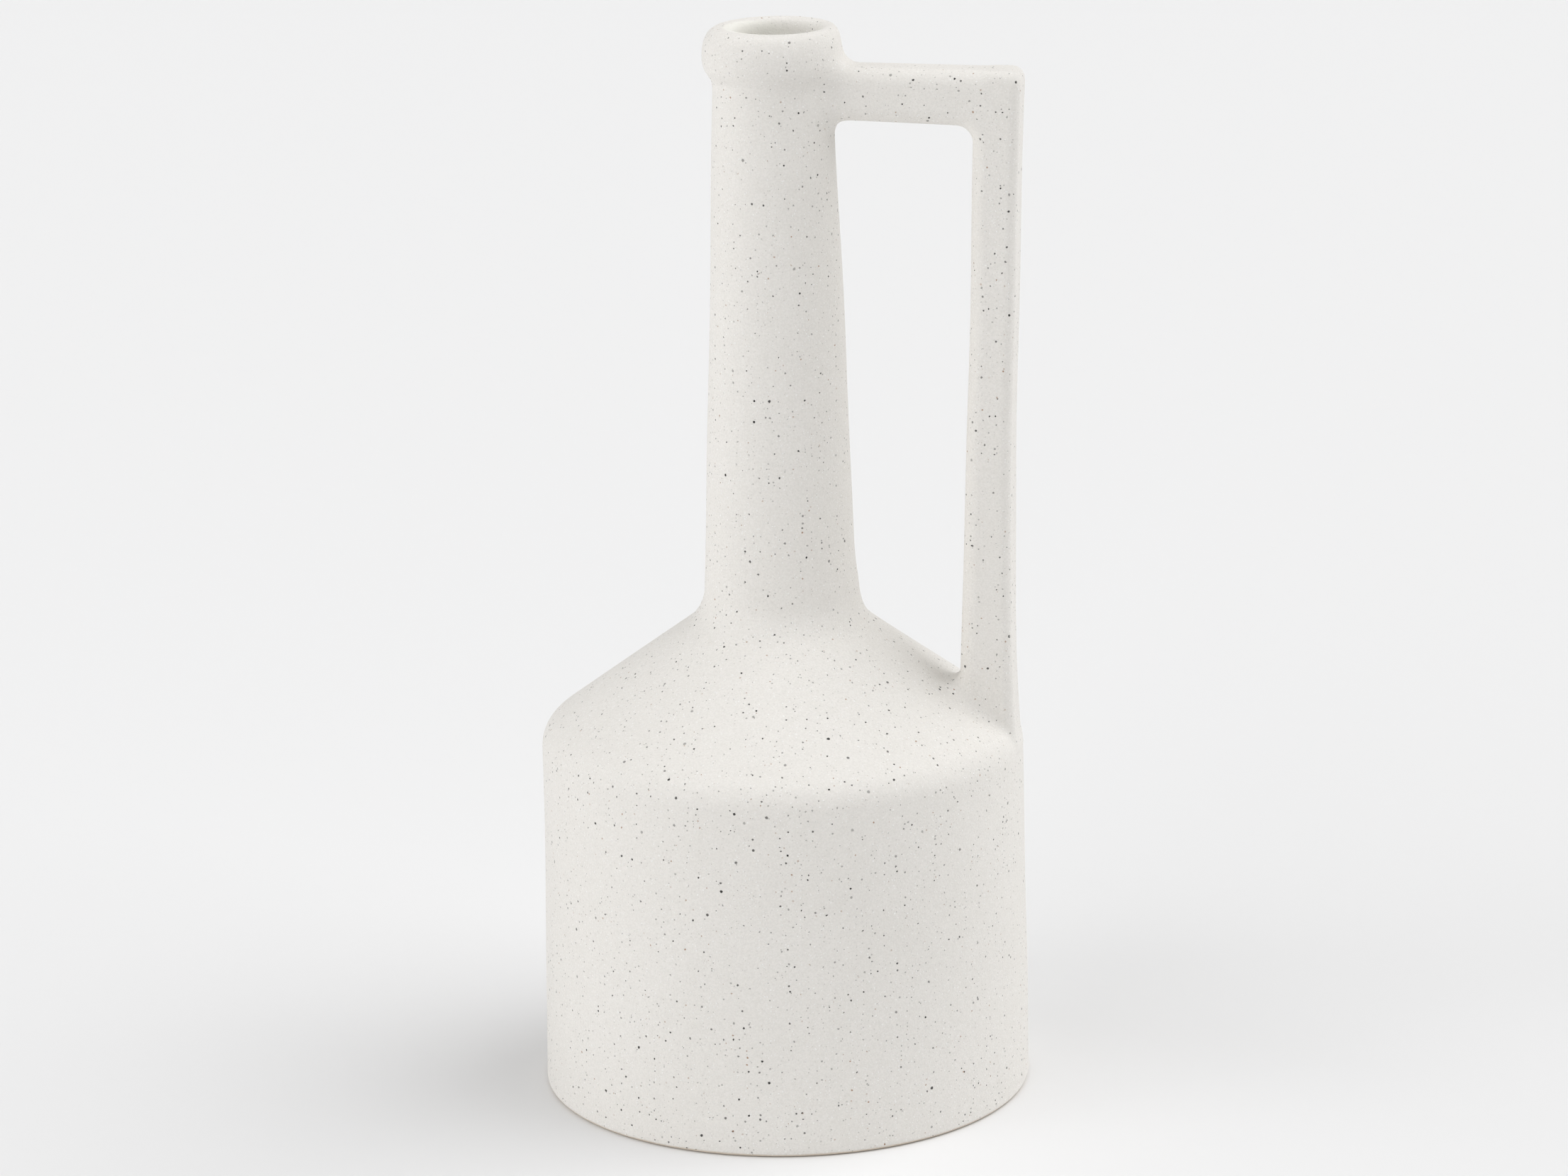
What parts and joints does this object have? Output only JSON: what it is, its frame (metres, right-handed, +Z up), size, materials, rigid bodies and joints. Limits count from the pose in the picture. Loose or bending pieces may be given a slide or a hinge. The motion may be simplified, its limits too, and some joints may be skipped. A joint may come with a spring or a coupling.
{
  "type": "handled bottle vase",
  "caption": "Stoneware bottle vase with a wide cylindrical body, sloping shoulder, tall tapering neck, rolled rim collar and an angular side handle.",
  "frame": {"origin": "middle of the face that the vase stands on, on the axis of the body", "axes": "+Z up along the body's axis, +X towards the handle"},
  "size_m": [0.137, 0.137, 0.3],
  "materials": {
    "speckled_stoneware": "matte",
    "bare_clay": "matte"
  },
  "bodies": {
    "root": {"base_disc": "bare_clay", "body_wall": "speckled_stoneware", "shoulder": "speckled_stoneware", "neck": "speckled_stoneware", "rim_collar": "speckled_stoneware", "handle_arm": "speckled_stoneware", "handle_upright": "speckled_stoneware"}
  },
  "joints": []
}
